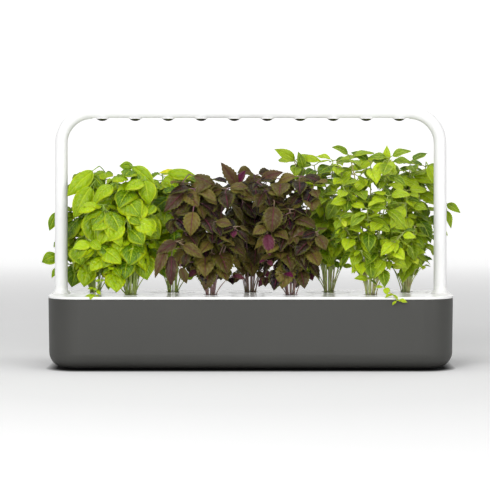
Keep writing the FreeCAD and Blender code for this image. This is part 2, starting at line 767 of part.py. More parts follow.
def leaf_layout(number):
    """Leaves of one plant: opposite pairs up each stem, every pair turned from the last."""
    herb = HERBS[PLANTED[number - 1]]
    planes = room_planes(number)
    chance = random.Random(100 + number)
    levels = [(t, 1.0, None) for t in herb["levels"]] + [(0.95, 0.95, None), (1.0, *herb["top"])]
    leaves = []
    for tip in STEM_TIPS[number - 1]:
        turn = chance.uniform(-first_turn_range, first_turn_range) - 90
        vigour = min(1.0, least_vigour + (1 - least_vigour) * tip[2] / full_stem)
        for t, share, set_drop in levels:
            base = stem_point(number, tip, t)
            usual_drop = herb["low"] + (herb["high"] - herb["low"]) * t
            for half_turn in (0, 180):
                azimuth = turn + half_turn + chance.uniform(-leaf_turn_range, leaf_turn_range)
                drop = (set_drop or usual_drop) + chance.uniform(-leaf_drop_range, leaf_drop_range)
                facing = chance.uniform(*leaf_facing)
                full_share = share * vigour * (lowest_leaf_share - leaf_share_loss * t)
                length = herb["length"] * full_share * chance.uniform(*leaf_size_range)
                for shrink, swing in LEAF_TRIES:
                    rib, side = leaf_directions(azimuth + swing, drop, facing)
                    size, width = length * shrink, length * shrink * herb["ratio"]
                    if leaf_fits(base, rib, side, size, width, planes):
                        leaves.append((base, rib, side, size, width))
                        break
            turn += 90 + chance.uniform(-pair_turn_range, pair_turn_range)
    return leaves


def flat_face(points):
    return Part.Face(Part.makePolygon(points + [points[0]]))


def skinned(rings):
    """Closed solid of flat faces through rings of as many points each."""
    faces = [flat_face(rings[0]), flat_face(rings[-1])]
    for low, high in zip(rings, rings[1:]):
        for here in range(len(low)):
            there = (here + 1) % len(low)
            faces.append(flat_face([low[here], low[there], high[there], high[here]]))
    return Part.Solid(Part.Shell(faces))


def leaf_half(base, rib, side, length, width, sign):
    """One half of a leaf's blade: a flat plate from the midrib out to the edge."""
    up = rib.cross(side)
    outline = [base]
    for along, across in leaf_outline:
        out = side * (sign * across * width) + up * (across * width * leaf_fold)
        outline.append(base + rib * along * length + out)
    outline.append(base + rib * length)
    return skinned([outline, [point - up * leaf_thickness for point in outline]])


def stem(number, tip):
    """Square stem, as basil has, that thins towards its tip."""
    rings = []
    for step in range(stem_steps + 1):
        t = step / stem_steps
        half = (stem_size + (stem_tip_size - stem_size) * t) / 2
        middle = stem_point(number, tip, t)
        corners = ((-1, -1), (1, -1), (1, 1), (-1, 1))
        rings.append([middle + Vec(dx * half, dy * half, 0) for dx, dy in corners])
    return skinned(rings)


def plant(number):
    """One herb plant as a solid: a root crown on the soil plug, stems and leaves."""
    x, y = cup_place(number)
    soil = plug_span()[1]
    pieces = [stem(number, tip) for tip in STEM_TIPS[number - 1]]
    for leaf in leaf_layout(number)[::solid_leaf_step]:
        pieces += [leaf_half(*leaf, sign) for sign in (-1, 1)]
    return rod(crown_radius, x, y, soil, soil + crown_height).multiFuse(pieces)


SINGLE_PARTS = {
    "reservoir_tub": reservoir_tub,
    "feet": feet,
    "socket_screws": socket_screws,
    "socket_contact": socket_contact,
    "electronics_box": electronics_box,
    "driver_board": driver_board,
    "power_inlet": power_inlet,
    "harness": harness,
    "lid": lid,
    "float_guide": float_guide,
    "water_float": water_float,
    "rod_conductor": rod_conductor,
    "arch_contact": arch_contact,
    "lamp_arch": lamp_arch,
    "led_board": led_board,
    "led_chips": led_chips,
    "led_bezels": led_bezels,
    "led_lenses": led_lenses,
}

for name, make in SINGLE_PARTS.items():
    export(name, make())

for side_name, side in (("left", -1), ("right", 1)):
    export("leg_socket_%s" % side_name, leg_socket(side))
    export("extension_rod_%s" % side_name, extension_rod(side))

for number in CUPS:
    export("cup_%d" % number, cup(number))
    export("soil_plug_%d" % number, soil_plug(number))
    export("wick_%d" % number, wick(number))
    export("plant_%d" % number, plant(number))
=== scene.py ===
import json
import math
import random

import bpy
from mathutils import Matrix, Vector


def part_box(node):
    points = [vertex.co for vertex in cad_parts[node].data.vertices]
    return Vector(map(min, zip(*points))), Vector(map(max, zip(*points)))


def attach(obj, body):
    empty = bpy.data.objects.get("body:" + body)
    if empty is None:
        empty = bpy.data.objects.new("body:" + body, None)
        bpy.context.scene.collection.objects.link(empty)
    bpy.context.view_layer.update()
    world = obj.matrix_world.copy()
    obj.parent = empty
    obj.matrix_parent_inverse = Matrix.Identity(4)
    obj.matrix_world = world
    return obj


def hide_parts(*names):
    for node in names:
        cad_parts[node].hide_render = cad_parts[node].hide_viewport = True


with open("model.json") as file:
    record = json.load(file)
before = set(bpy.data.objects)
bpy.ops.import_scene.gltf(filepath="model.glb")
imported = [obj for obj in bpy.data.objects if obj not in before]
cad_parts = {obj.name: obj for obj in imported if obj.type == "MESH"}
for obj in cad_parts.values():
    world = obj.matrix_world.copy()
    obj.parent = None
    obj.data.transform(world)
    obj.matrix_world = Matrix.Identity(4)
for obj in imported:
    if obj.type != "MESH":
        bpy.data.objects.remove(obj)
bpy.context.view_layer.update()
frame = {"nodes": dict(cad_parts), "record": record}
MM = 0.001

# The photograph's camera: its view is level, its horizon and the object's middle
# sit off the frame's centre, and its focal length in pixels gives the lens.
photo_size = 490
photo_horizon_y = 192.0
photo_middle_x = 250.7
focal_px = 1601.7
camera_distance = 2.5
camera_height = 0.270

# Places that the foliage takes from the frame, in millimetres
lid_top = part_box("lid")[1].z / MM
tub_half_length = round(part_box("reservoir_tub")[1].x / MM, 1)
tub_half_width = round(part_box("reservoir_tub")[1].y / MM, 1)
leg_axis_x = (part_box("extension_rod_right")[0].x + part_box("extension_rod_right")[1].x) / 2 / MM
CUPS = range(1, 10)
CUP_PLACES = {}
for number in CUPS:
    low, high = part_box("cup_%d" % number)
    CUP_PLACES[number] = ((low.x + high.x) / 2 / MM, (low.y + high.y) / 2 / MM)

# The planting: the same herbs, stems and leaves as the solids have
stem_spread = 6.0
field_half_length = tub_half_length + 8.0
field_half_width = tub_half_width - 0.5
foliage_floor = 3.0
foliage_height = 230.0
neighbour_gap = 0.6
leg_keep_out = 17.0
full_stem = 170.0
least_vigour = 0.45
lowest_leaf_share = 1.15
leaf_share_loss = 0.25
stem_bend_across = 0.3
stem_bend_up = 0.6
first_turn_range = 40
leaf_turn_range = 15
leaf_drop_range = 16
pair_turn_range = 12
leaf_facing = (15, 60)
leaf_size_range = (0.8, 1.1)
HERBS = {
    "green basil": dict(length=62, ratio=0.64, levels=(0.46, 0.64, 0.82), low=62, high=32, top=(0.75, 18)),
    "purple basil": dict(length=54, ratio=0.60, levels=(0.38, 0.54, 0.70, 0.86),
                         low=60, high=30, top=(0.75, 8)),
    "lime basil": dict(length=48, ratio=0.50, levels=(0.40, 0.55, 0.70, 0.85),
                       low=58, high=20, top=(0.8, -12)),
}
PLANTED = ["green basil"] * 3 + ["purple basil"] * 3 + ["lime basil"] * 3
ROOM = [0, 0, 0, 2600, 0, 2600, 5289, 3500, 2500]
STEM_TIPS = [
    [(-22, 8, 182), (18, -4, 186), (-2, -30, 146), (-44, 40, 130), (30, 34, 168), (-66, 54, 104),
     (-12, -46, 96)],
    [(6, -4, 188), (-22, -14, 178), (24, -18, 176), (-40, -32, 138), (-2, -44, 120), (34, -4, 140),
     (-60, -46, 86)],
    [(-18, 18, 184), (16, 22, 188), (34, 38, 180), (-30, 42, 162), (2, 0, 158), (-44, 26, 118)],
    [(-46, -12, 168), (2, -8, 176), (-24, -28, 162), (24, -14, 164), (-58, -36, 124), (4, -44, 112),
     (40, -40, 106)],
    [(-28, 12, 178), (6, 18, 184), (26, 26, 178), (-44, 40, 164), (10, 44, 150), (-14, -6, 150)],
    [(-16, -10, 178), (14, -14, 182), (36, -22, 170), (-42, -28, 166), (-2, -44, 132), (40, -42, 98),
     (-36, -46, 110)],
    [(-54, 22, 208), (-22, 14, 200), (8, 20, 208), (28, 40, 192), (42, 8, 172), (-38, 46, 172),
     (-10, -14, 150)],
    [(-52, 2, 204), (-32, -8, 212), (0, -4, 204), (28, -14, 210), (-44, -30, 166), (-8, -42, 132),
     (24, -38, 152),
     (-50, -36, 118), (46, -44, 96)],
    [(-22, 14, 206), (8, 18, 206), (34, 30, 198), (20, 44, 182), (-14, 48, 180), (-2, -22, 160),
     (58, 54, 126),
     (10, -34, 104)],
]
LEAF_TRIES = [(1.0, 0), (1.0, 30), (1.0, -30), (0.85, 0), (0.85, 55), (0.85, -55), (0.7, 20), (0.7, -20),
              (0.6, 80), (0.6, -80)]

# Leaves that stand out from the front, as read off the photograph: where the blade
# starts and ends and its width, in pixels, how far back it stands in millimetres,
# its tone, and how young its colour is
MARKED_LEAVES = [
    dict(plant=1, start_px=(93, 172), tip_px=(67, 197), width_px=17, back=-4, tone=0.7),
    dict(plant=1, start_px=(91, 188), tip_px=(74, 219), width_px=20, back=-12, tone=0.6),
    dict(plant=1, start_px=(93.6, 212.4), tip_px=(96.2, 245.2), width_px=25, back=-14, tone=0.45),
    dict(plant=1, start_px=(80.2, 245.2), tip_px=(81.5, 265.3), width_px=23, back=-12, tone=0.35),
    dict(plant=1, start_px=(110.3, 245.9), tip_px=(114.8, 268.3), width_px=16.7, back=-2, tone=0.95),
    dict(plant=1, start_px=(94, 177), tip_px=(106, 191), width_px=14, back=10, tone=0.2),
    dict(plant=2, start_px=(125.7, 182.2), tip_px=(128.4, 211.7), width_px=18, back=-50, tone=0.8),
    dict(plant=2, start_px=(145.8, 181.6), tip_px=(149.8, 205), width_px=18, back=-48, tone=0.6),
    dict(plant=2, start_px=(107, 218.4), tip_px=(123, 247.9), width_px=17, back=-66, tone=0.75),
    dict(plant=2, start_px=(132.4, 222.4), tip_px=(141.8, 251.9), width_px=17, back=-60, tone=0.15),
    dict(plant=2, start_px=(133, 167), tip_px=(119, 166), width_px=10, back=-30, tone=0.3),
    dict(plant=2, start_px=(133, 168), tip_px=(156, 186), width_px=14, back=-34, tone=0.5),
    dict(plant=3, start_px=(168.6, 174.2), tip_px=(197.4, 175.5), width_px=13, back=20, tone=0.7),
    dict(plant=1, start_px=(57, 213), tip_px=(49.5, 231.5), width_px=10, back=34, tone=0.2),
    dict(plant=1, start_px=(57, 256), tip_px=(41.5, 262), width_px=14, back=30, tone=0.3),
    dict(plant=1, start_px=(57, 268), tip_px=(52, 278), width_px=6, back=30, tone=0.4),
    dict(plant=5, start_px=(237, 186), tip_px=(220.5, 161.5), width_px=13, back=22, tone=0.7, young=0.2),
    dict(plant=5, start_px=(237, 184), tip_px=(246, 170), width_px=9, back=22, tone=0.1, young=0.8),
    dict(plant=4, start_px=(183, 193), tip_px=(163.5, 213), width_px=15, back=-55, tone=0.3, young=0.1),
    dict(plant=4, start_px=(193, 212.5), tip_px=(190.5, 237), width_px=17, back=-80, tone=0.95),
    dict(plant=4, start_px=(195, 177), tip_px=(219, 188), width_px=12, back=-40, tone=0.5),
    dict(plant=4, start_px=(203, 190), tip_px=(218, 206), width_px=11, back=-60, tone=0.9),
    dict(plant=4, start_px=(176, 243), tip_px=(156, 254), width_px=13, back=-80, tone=0.35, young=0.1),
    dict(plant=4, start_px=(166, 249), tip_px=(155, 278), width_px=12, back=-82, tone=0.6, young=0.1),
    dict(plant=4, start_px=(172, 256), tip_px=(171, 287), width_px=13, back=-82, tone=0.25, young=0.15),
    dict(plant=4, start_px=(181, 268), tip_px=(187, 284), width_px=9, back=-84, tone=0.5),
    dict(plant=4, start_px=(184, 246), tip_px=(204, 258), width_px=12, back=-84, tone=0.7),
    dict(plant=4, start_px=(187, 254), tip_px=(184, 267), width_px=10, back=-80, tone=0.2),
    dict(plant=6, start_px=(274, 207), tip_px=(271, 234), width_px=20, back=-80, tone=0.45, young=0.05),
    dict(plant=6, start_px=(267, 234), tip_px=(270, 256), width_px=13, back=-78, tone=0.4, young=0.7),
    dict(plant=6, start_px=(262, 180), tip_px=(284, 172), width_px=12, back=-40, tone=0.5, young=0.2),
    dict(plant=7, start_px=(294, 161), tip_px=(273.5, 149), width_px=11, back=20, tone=0.6),
    dict(plant=7, start_px=(305, 159), tip_px=(321, 161), width_px=8, back=22, tone=0.8),
    dict(plant=7, start_px=(303, 168), tip_px=(298, 151), width_px=9, back=12, tone=0.2),
    dict(plant=8, start_px=(386.5, 162), tip_px=(386.5, 144.7), width_px=7.5, back=-34, tone=0.9),
    dict(plant=7, start_px=(373, 160), tip_px=(350, 172), width_px=11, back=30, tone=0.85),
    dict(plant=8, start_px=(383, 163), tip_px=(371, 180), width_px=11, back=-50, tone=0.95),
    dict(plant=7, start_px=(338, 200), tip_px=(326, 221), width_px=15, back=-2, tone=0.2),
    dict(plant=7, start_px=(345, 192), tip_px=(343, 213), width_px=12, back=-4, tone=0.6),
    dict(plant=8, start_px=(404, 208), tip_px=(389, 229), width_px=14, back=-50, tone=0.75),
    dict(plant=9, start_px=(447, 204), tip_px=(460.5, 213), width_px=9, back=30, tone=0.3),
    dict(plant=9, start_px=(447, 211), tip_px=(451, 229), width_px=7, back=30, tone=0.4),
    dict(plant=9, start_px=(428.2, 166.1), tip_px=(438.9, 190.1), width_px=12, back=36, tone=0.7),
]

# Shoots that trail over the lid: plant and the points of the stem
TRAILERS = [
    (8, [(188, -36, 109), (192, -58, 128), (202, -80, 126), (213, -93, 116), (220, -97, 107)]),
    (2, [(-189, -35, 109), (-208, -52, 134), (-226, -68, 136), (-235, -77, 124), (-237, -80, 115)]),
]

# How each herb looks close up: arch of the blade, curl and swelling of its
# surface, teeth along its edge, length of its drawn-out point, share of the stalk
LEAF_LOOKS = {
    "green basil": dict(arch=0.16, curl=0.30, pucker=2.2, teeth=0.0, point=0.9, stalk=0.20),
    "purple basil": dict(arch=0.13, curl=0.12, pucker=1.7, teeth=0.09, point=1.0, stalk=0.20),
    "lime basil": dict(arch=0.12, curl=0.12, pucker=1.1, teeth=0.04, point=1.25, stalk=0.16),
}
blade_thickness = 0.45
rib_groove = 0.35
least_half_width = 0.25
ripple_share = 0.022         # of a blade's length
veins = 5.0
vein_slant = 1.6
arch_range = (0.7, 1.2)
cup_range = (0.6, 1.2)
twist_range = 0.35
fine_leaf = (25, 5)          # steps along a blade, and across half of it
small_leaf = (12, 3)

# Stems and shoots close up, in millimetres, with the first and last radius of each
main_stem = (1.4, 0.85)
shoot_stem = (0.95, 0.5)
marked_stem = (0.9, 0.7)
trailing_stem = (1.0, 0.5)
stalk_radius = 0.8
stalk_sides = 6
tube_sides = 7

# Small leaves between the main pairs, as many at each level of a stem
side_leaf_count = 3
side_leaf_share = (0.3, 0.68)
side_leaf_narrowing = (0.8, 1.0)
side_leaf_drop = (-10, 65)
side_leaf_facing = (10, 60)
topmost_level = 0.93
level_spread = 0.06

# Thin shoots round each cup, and the leaves on the end of each
shoot_count = 12
shoot_foot = (3, 8.5)
shoot_reach = (18, 46)
shoot_height = (24, 92)
shoot_leaf_turns = (-70, 0, 75)
shoot_leaf_drop = (-15, 50)
shoot_leaf_size = (13, 25)
trailing_leaf_size = (10, 17)
trailing_leaf_ratio = 0.55


# Shader nodes

def new_material(name):
    material = bpy.data.materials.new(name)
    material.use_nodes = True
    tree = material.node_tree
    shader = tree.nodes["Principled BSDF"]
    return material, tree, shader


def add(tree, kind, **settings):
    node = tree.nodes.new(kind)
    for key, value in settings.items():
        setattr(node, key, value)
    return node


def object_coordinates(tree):
    return add(tree, "ShaderNodeTexCoord").outputs["Object"]


def noise(tree, vector, scale, detail=3.0, roughness=0.5):
    node = add(tree, "ShaderNodeTexNoise")
    node.inputs["Scale"].default_value = scale
    node.inputs["Detail"].default_value = detail
    node.inputs["Roughness"].default_value = roughness
    tree.links.new(vector, node.inputs["Vector"])
    return node.outputs["Fac"]


def ramp(tree, value, stops):
    node = add(tree, "ShaderNodeValToRGB")
    elements = node.color_ramp.elements
    while len(elements) < len(stops):
        elements.new(0.5)
    for element, (position, color) in zip(elements, stops):
        element.position = position
        element.color = (*color, 1) if len(color) == 3 else color
    tree.links.new(value, node.inputs["Fac"])
    return node.outputs["Color"]


def math_node(tree, operation, first, second=None, clamp=False):
    node = add(tree, "ShaderNodeMath", operation=operation, use_clamp=clamp)
    for socket, value in zip(node.inputs, (first, second)):
        if value is None:
            continue
        if isinstance(value, (int, float)):
            socket.default_value = value
        else:
            tree.links.new(value, socket)
    return node.outputs[0]


def mix_color(tree, factor, first, second, blend="MIX"):
    node = add(tree, "ShaderNodeMix", data_type="RGBA", blend_type=blend)
    for socket, value in ((node.inputs[0], factor), (node.inputs[6], first), (node.inputs[7], second)):
        if isinstance(value, (int, float)):
            socket.default_value = value
        elif isinstance(value, tuple):
            socket.default_value = (*value, 1)
        else:
            tree.links.new(value, socket)
    return node.outputs[2]


def bump(tree, shader, height, strength, distance):
    node = add(tree, "ShaderNodeBump")
    node.inputs["Strength"].default_value = strength
    node.inputs["Distance"].default_value = distance
    tree.links.new(height, node.inputs["Height"])
    tree.links.new(node.outputs["Normal"], shader.inputs["Normal"])


def moulded_plastic(name, color, roughness, grain, grain_depth, variation, specular):
    """Moulded plastic or paint: a fine grain, a faint cloudiness and handled patches."""
    material, tree, shader = new_material(name)
    place = object_coordinates(tree)
    clouds = noise(tree, place, scale=7, detail=4)
    dark = tuple(c * (1 - variation) for c in color)
    light = tuple(min(1, c * (1 + variation)) for c in color)
    tree.links.new(ramp(tree, clouds, [(0.3, dark), (0.7, light)]), shader.inputs["Base Color"])
    smears = noise(tree, place, scale=28, detail=5)
    rough = math_node(tree, "MULTIPLY_ADD", smears, 0.12)
    rough.node.inputs[2].default_value = roughness - 0.06
    tree.links.new(rough, shader.inputs["Roughness"])
    shader.inputs["Specular IOR Level"].default_value = specular
    grains = noise(tree, place, scale=grain, detail=2)
    bump(tree, shader, grains, strength=0.25, distance=grain_depth)
    return material


def smoked_lens(name):
    """Dark glossy dome with a fine prismatic ripple."""
    material, tree, shader = new_material(name)
    place = object_coordinates(tree)
    tone = noise(tree, place, scale=300, detail=2)
    shade = ramp(tree, tone, [(0.3, (0.020, 0.018, 0.012)), (0.7, (0.045, 0.040, 0.026))])
    tree.links.new(shade, shader.inputs["Base Color"])
    shader.inputs["Roughness"].default_value = 0.16
    shader.inputs["Coat Weight"].default_value = 0.4
    shader.inputs["Coat Roughness"].default_value = 0.08
    ripple = noise(tree, place, scale=900, detail=1)
    bump(tree, shader, ripple, strength=0.2, distance=0.0001)
    return material


def metal(name, color, roughness):
    """Metal with fine scratches that vary its tone and its gloss."""
    material, tree, shader = new_material(name)
    place = object_coordinates(tree)
    marks = noise(tree, place, scale=400, detail=4)
    dark = tuple(c * 0.85 for c in color)
    tree.links.new(ramp(tree, marks, [(0.35, dark), (0.65, color)]), shader.inputs["Base Color"])
    rough = math_node(tree, "MULTIPLY_ADD", marks, 0.2)
    rough.node.inputs[2].default_value = roughness - 0.1
    tree.links.new(rough, shader.inputs["Roughness"])
    shader.inputs["Metallic"].default_value = 1.0
    bump(tree, shader, marks, strength=0.2, distance=0.00003)
    return material


def circuit_board(name):
    """Green board: copper runs under the mask, with bare pads."""
    material, tree, shader = new_material(name)
    place = object_coordinates(tree)
    runs = add(tree, "ShaderNodeTexBrick")
    runs.inputs["Scale"].default_value = 120
    runs.inputs["Mortar Size"].default_value = 0.04
    tree.links.new(place, runs.inputs["Vector"])
    lines = ramp(tree, runs.outputs["Fac"], [(0.4, (0.012, 0.085, 0.030)), (0.6, (0.03, 0.16, 0.06))])
    spots = noise(tree, place, scale=500, detail=1)
    specks = ramp(tree, spots, [(0.66, (0, 0, 0)), (0.68, (1, 1, 1))])
    tree.links.new(mix_color(tree, specks, lines, (0.75, 0.72, 0.62)), shader.inputs["Base Color"])
    shader.inputs["Roughness"].default_value = 0.3
    bump(tree, shader, runs.outputs["Fac"], strength=0.3, distance=0.00005)
    return material


def soil(name):
    """Moist dark crumbs with paler fibres."""
    material, tree, shader = new_material(name)
    place = object_coordinates(tree)
    crumbs = add(tree, "ShaderNodeTexVoronoi")
    crumbs.inputs["Scale"].default_value = 420
    tree.links.new(place, crumbs.inputs["Vector"])
    tones = [(0.1, (0.050, 0.034, 0.020)), (0.7, (0.012, 0.008, 0.005))]
    shade = ramp(tree, crumbs.outputs["Distance"], tones)
    strands = noise(tree, place, scale=650, detail=5)
    fibres = ramp(tree, strands, [(0.62, (0, 0, 0)), (0.7, (1, 1, 1))])
    tree.links.new(mix_color(tree, fibres, shade, (0.16, 0.10, 0.05)), shader.inputs["Base Color"])
    shader.inputs["Roughness"].default_value = 0.75
    bump(tree, shader, crumbs.outputs["Distance"], strength=0.9, distance=0.0006)
    return material


def felt(name, color):
    """Matt wick of pale fibres."""
    material, tree, shader = new_material(name)
    place = object_coordinates(tree)
    fibres = noise(tree, place, scale=1400, detail=6, roughness=0.7)
    dark = tuple(c * 0.7 for c in color)
    tree.links.new(ramp(tree, fibres, [(0.3, dark), (0.7, color)]), shader.inputs["Base Color"])
    shader.inputs["Roughness"].default_value = 0.95
    shader.inputs["Sheen Weight"].default_value = 0.3
    bump(tree, shader, fibres, strength=0.8, distance=0.0002)
    return material


def leaf_material(name, deep, bright, vein, painted_edge_light, young_color, rough, gloss, through):
    """Leaf blade: tone for each leaf, a paler rim round its margin that is painted light, midrib and side
    veins, blotches and a paler underside.

    The mesh's map runs 0 to 1 along the blade and 0 to 1 across it. Its leaf_tone and
    leaf_young are one number for each leaf, and its leaf_under is 1 below and 0 above."""
    material, tree, shader = new_material(name)
    looks = add(tree, "ShaderNodeUVMap", uv_map="blade")
    split = add(tree, "ShaderNodeSeparateXYZ")
    tree.links.new(looks.outputs["UV"], split.inputs[0])
    along, across = split.outputs["X"], split.outputs["Y"]
    tone = add(tree, "ShaderNodeAttribute", attribute_name="leaf_tone").outputs["Fac"]
    under = add(tree, "ShaderNodeAttribute", attribute_name="leaf_under").outputs["Fac"]
    young = add(tree, "ShaderNodeAttribute", attribute_name="leaf_young").outputs["Fac"]
    off_rib = math_node(tree, "ABSOLUTE", math_node(tree, "SUBTRACT", across, 0.5))
    spread = math_node(tree, "MULTIPLY", off_rib, 2.0)

    place = object_coordinates(tree)
    blotches = noise(tree, place, scale=130, detail=4)
    blotches = math_node(tree, "MULTIPLY", math_node(tree, "SUBTRACT", blotches, 0.5), 0.55)
    depth = math_node(tree, "ADD", tone, blotches, clamp=True)
    blade = mix_color(tree, young, ramp(tree, depth, [(0.0, deep), (1.0, bright)]), young_color)
    # Painted light: the blade grows paler towards its margin, standing in for light on the leaf's edges
    rim = ramp(tree, spread, [(0.72, (0, 0, 0)), (1.0, (1, 1, 1))])
    rim = math_node(tree, "MULTIPLY", rim, 0.55)
    blade = mix_color(tree, rim, blade, painted_edge_light)

    wave = math_node(tree, "MULTIPLY", along, veins)
    wave = math_node(tree, "SUBTRACT", wave, math_node(tree, "MULTIPLY", spread, vein_slant))
    side_vein = math_node(tree, "ABSOLUTE", math_node(tree, "SUBTRACT", math_node(tree, "FRACT", wave), 0.5))
    side_lines = ramp(tree, side_vein, [(0.0, (1, 1, 1)), (0.075, (0, 0, 0))])
    midrib = ramp(tree, spread, [(0.02, (1, 1, 1)), (0.085, (0, 0, 0))])
    side_lines = math_node(tree, "MULTIPLY", side_lines, 0.55)
    lines = math_node(tree, "MAXIMUM", side_lines, math_node(tree, "MULTIPLY", midrib, 0.85))
    blade = mix_color(tree, lines, blade, vein)

    below = tuple(0.80 * b + 0.05 for b in bright)
    blade = mix_color(tree, math_node(tree, "MULTIPLY", under, 0.6), blade, below)
    tree.links.new(blade, shader.inputs["Base Color"])
    shine = math_node(tree, "MULTIPLY_ADD", noise(tree, place, scale=260, detail=3), 0.2)
    shine.node.inputs[2].default_value = rough - 0.1
    tree.links.new(shine, shader.inputs["Roughness"])
    shader.inputs["Specular IOR Level"].default_value = gloss
    shader.inputs["Subsurface Weight"].default_value = through
    shader.inputs["Subsurface Radius"].default_value = (0.6, 1.0, 0.25)
    shader.inputs["Subsurface Scale"].default_value = 0.0016
    fine = math_node(tree, "MULTIPLY", noise(tree, place, scale=700, detail=3), 0.35)
    bump(tree, shader, math_node(tree, "SUBTRACT", fine, lines), strength=0.8, distance=0.0008)
    return material


def stem_material(name, base, tip, blush):
    """Stem: pale near the soil, deeper above, with long fibres and a blush of colour."""
    material, tree, shader = new_material(name)
    place = object_coordinates(tree)
    split = add(tree, "ShaderNodeSeparateXYZ")
    tree.links.new(place, split.inputs[0])
    height = add(tree, "ShaderNodeMapRange")
    height.inputs["From Min"].default_value = lid_top * MM
    height.inputs["From Max"].default_value = (lid_top + 130) * MM
    tree.links.new(split.outputs["Z"], height.inputs["Value"])
    shade = ramp(tree, height.outputs["Result"], [(0.0, base), (1.0, tip)])
    stretch = add(tree, "ShaderNodeMapping")
    stretch.inputs["Scale"].default_value = (1, 1, 0.12)
    tree.links.new(place, stretch.inputs["Vector"])
    fibres = noise(tree, stretch.outputs["Vector"], scale=900, detail=4)
    clouds = noise(tree, place, scale=45, detail=3)
    patches = ramp(tree, clouds, [(0.45, (0, 0, 0)), (0.7, (1, 1, 1))])
    shade = mix_color(tree, math_node(tree, "MULTIPLY", patches, 0.6), shade, blush)
    tree.links.new(shade, shader.inputs["Base Color"])
    shader.inputs["Roughness"].default_value = 0.45
    shader.inputs["Subsurface Weight"].default_value = 0.25
    shader.inputs["Subsurface Radius"].default_value = (0.6, 1.0, 0.3)
    shader.inputs["Subsurface Scale"].default_value = 0.002
    bump(tree, shader, fibres, strength=0.4, distance=0.0003)
    return material


def dress_nodes():
    """Give each CAD node the material of its slot."""
    plastics = {
        "tub_grey": ((0.047, 0.047, 0.043), 0.48, 3200, 0.00006, 0.05, 0.35),
        "white_plastic": ((0.90, 0.90, 0.89), 0.18, 2200, 0.00003, 0.02, 0.4),
        "white_metal": ((0.86, 0.86, 0.86), 0.34, 1800, 0.00002, 0.015, 0.4),
        "rubber": ((0.030, 0.030, 0.030), 0.80, 1500, 0.0001, 0.2, 0.25),
        "black_plastic": ((0.018, 0.018, 0.018), 0.45, 1800, 0.00006, 0.1, 0.4),
        "led_chip": ((0.75, 0.58, 0.16), 0.35, 4000, 0.00002, 0.08, 0.4),
        "wire": ((0.035, 0.035, 0.035), 0.60, 1200, 0.00008, 0.15, 0.4),
        "float_red": ((0.50, 0.045, 0.035), 0.30, 2500, 0.00003, 0.06, 0.4),
    }
    by_slot = {slot: moulded_plastic(slot, *looks) for slot, looks in plastics.items()}
    by_slot["dark_lens"] = smoked_lens("dark_lens")
    by_slot["board"] = circuit_board("board")
    by_slot["brass"] = metal("brass", (0.78, 0.58, 0.26), 0.28)
    by_slot["steel"] = metal("steel", (0.16, 0.16, 0.16), 0.40)
    by_slot["soil"] = soil("soil")
    by_slot["felt"] = felt("felt", (0.72, 0.70, 0.64))
    for part in frame["record"]["subparts"]:
        material = by_slot.get(part["material_slot"])
        if material:
            mesh = frame["nodes"][part["node"]].data
            mesh.materials.clear()
            mesh.materials.append(material)


# The layout of the planting

def room_planes(number):
    """Upright planes (x, y, limit) round the room in which a plant may spread."""
    x, y = CUP_PLACES[number]
    planes = [(sign, 0, field_half_length) for sign in (-1, 1)]
    planes += [(0, sign, field_half_width) for sign in (-1, 1)]
    for other in CUPS:
        if other != number:
            other_x, other_y = CUP_PLACES[other]
            gap = math.hypot(other_x - x, other_y - y)
            share = gap / 2 + (ROOM[number - 1] - ROOM[other - 1]) / (2 * gap) - neighbour_gap
            across, back = (other_x - x) / gap, (other_y - y) / gap
            planes.append((across, back, across * x + back * y + share))
    for side in (-1, 1):
        gap = math.hypot(side * leg_axis_x - x, y)
        across, back = (side * leg_axis_x - x) / gap, -y / gap
        planes.append((across, back, across * x + back * y + gap - leg_keep_out))
    return planes


def curve_point(start, bend, end, t):
    return start * (1 - t) ** 2 + bend * 2 * t * (1 - t) + end * t ** 2


def stem_point(number, tip, t):
    """Point at share t along a stem, which leaves its cup steeply and then leans out."""
    x, y = CUP_PLACES[number]
    reach = math.hypot(tip[0], tip[1])
    spread = stem_spread / reach
    start = Vector((x + spread * tip[0], y + spread * tip[1], lid_top))
    across, back = stem_bend_across * tip[0], stem_bend_across * tip[1]
    bend = Vector((x + across, y + back, lid_top + stem_bend_up * tip[2]))
    end = Vector((x + tip[0], y + tip[1], lid_top + tip[2]))
    return curve_point(start, bend, end, t)


def leaf_directions(azimuth, drop, facing):
    """Directions along a leaf's midrib and across its blade, which faces the front."""
    a, d = math.radians(azimuth), math.radians(drop)
    rib = Vector((math.cos(a) * math.cos(d), math.sin(a) * math.cos(d), -math.sin(d)))
    level = Vector((-math.sin(a), math.cos(a), 0))
    lean = math.radians(facing) * math.cos(a)
    return rib, level * math.cos(lean) + rib.cross(level) * math.sin(lean)


def leaf_fits(base, rib, side, length, width, planes):
    """Whether a leaf keeps to its plant's room, above the lid and below the lamp."""
    spots = [base + rib * length]
    for along in (0.45, 0.75):
        for across in (-0.5, 0.5):
            spots.append(base + rib * along * length + side * across * width)
    low, high = lid_top + foliage_floor, lid_top + foliage_height
    in_room = all(nx * spot.x + ny * spot.y <= limit for nx, ny, limit in planes for spot in spots)
    return in_room and all(low < spot.z < high for spot in spots)


